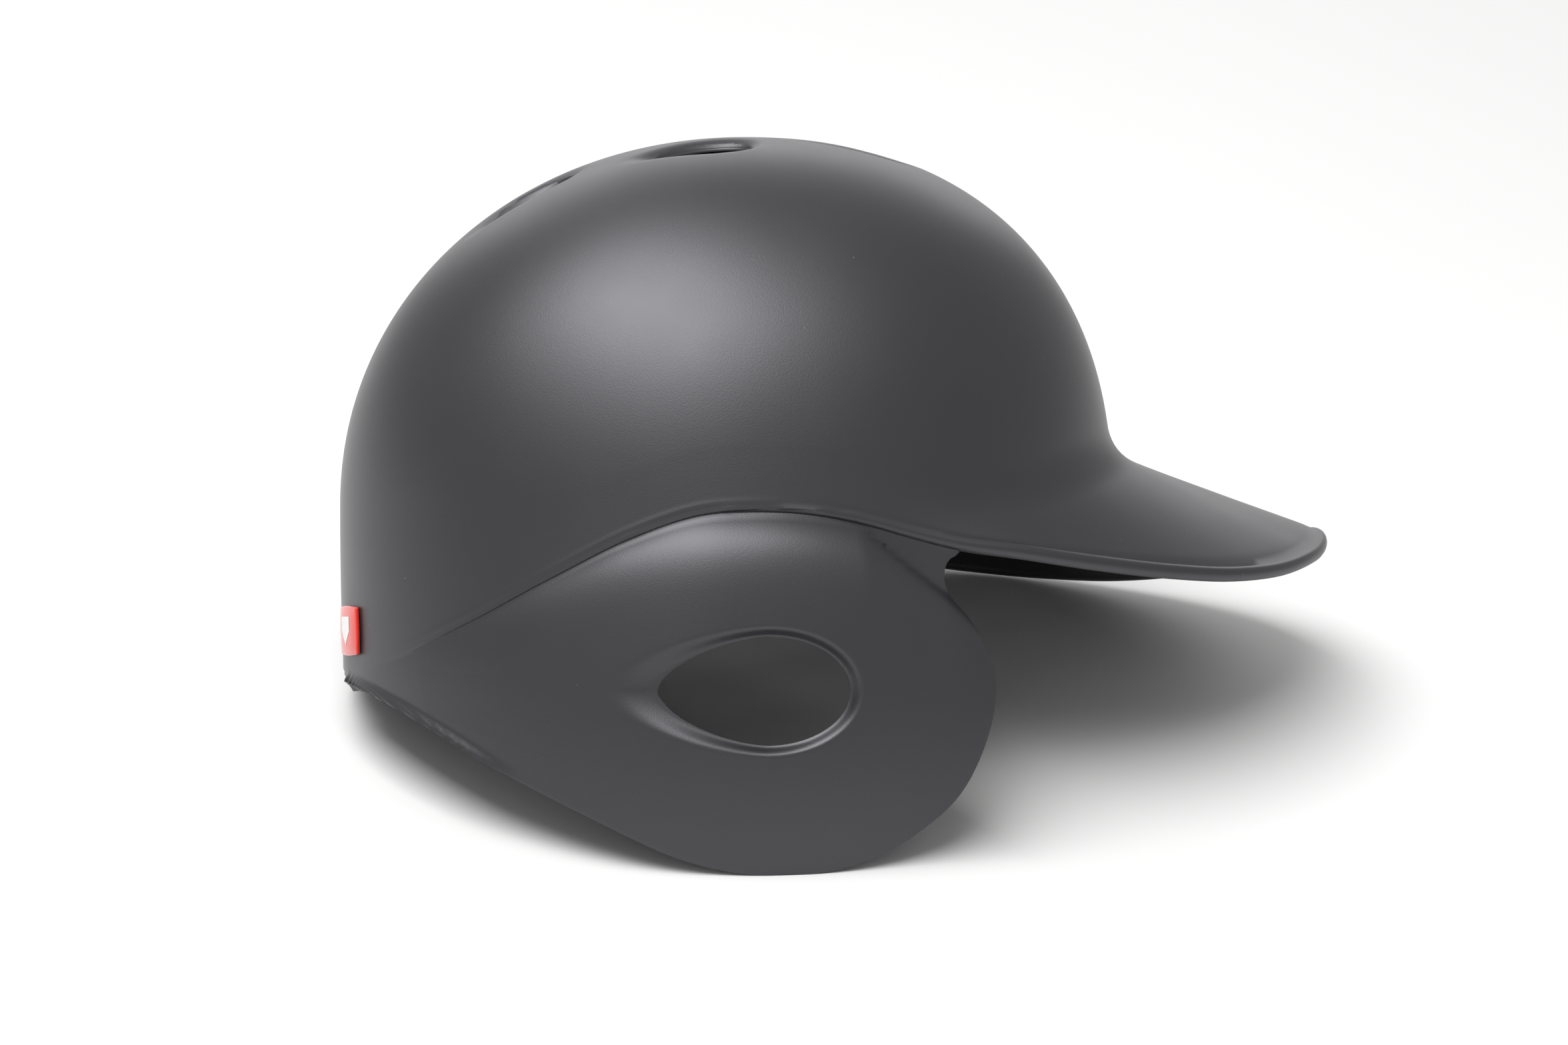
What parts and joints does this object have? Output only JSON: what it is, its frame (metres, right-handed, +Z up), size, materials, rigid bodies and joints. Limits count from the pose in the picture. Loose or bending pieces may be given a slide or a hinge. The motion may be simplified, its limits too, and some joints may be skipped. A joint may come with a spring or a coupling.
{
  "type": "batting helmet",
  "caption": "Hard shell ball-sports helmet with a brim, one ear flap with an ear hole, top vents and a padded liner.",
  "frame": {"origin": "bottom middle of the whole helmet as it rests, on the floor", "axes": "+X towards the brim, +Z up from the floor, the ear flap towards -Y; the helmet lies rolled onto its bare left side"},
  "size_m": [0.3036, 0.2316, 0.1682],
  "materials": {
    "shell": "soft-touch matt black",
    "foam": "moulded bead foam",
    "fabric": "brushed knit over foam",
    "hook": "hook-and-loop pile",
    "sticker": "domed gloss",
    "mark": "print under the dome"
  },
  "bodies": {
    "root": {"outer_shell": "shell", "front_liner": "foam", "rear_liner": "foam", "left_liner": "foam", "right_liner": "foam", "crown_liner": "foam", "front_pad": "fabric", "rear_pad": "fabric", "left_pad": "fabric", "right_pad": "fabric", "crown_pad": "fabric", "ear_pad": "fabric", "jaw_pad": "fabric", "hook_dot_front_1": "hook", "hook_dot_front_2": "hook", "hook_dot_rear_1": "hook", "hook_dot_rear_2": "hook", "hook_dot_left_1": "hook", "hook_dot_left_2": "hook", "hook_dot_right_1": "hook", "hook_dot_right_2": "hook", "hook_dot_crown_1": "hook", "hook_dot_crown_2": "hook", "rear_decal": "sticker", "decal_mark": "mark"}
  },
  "joints": []
}
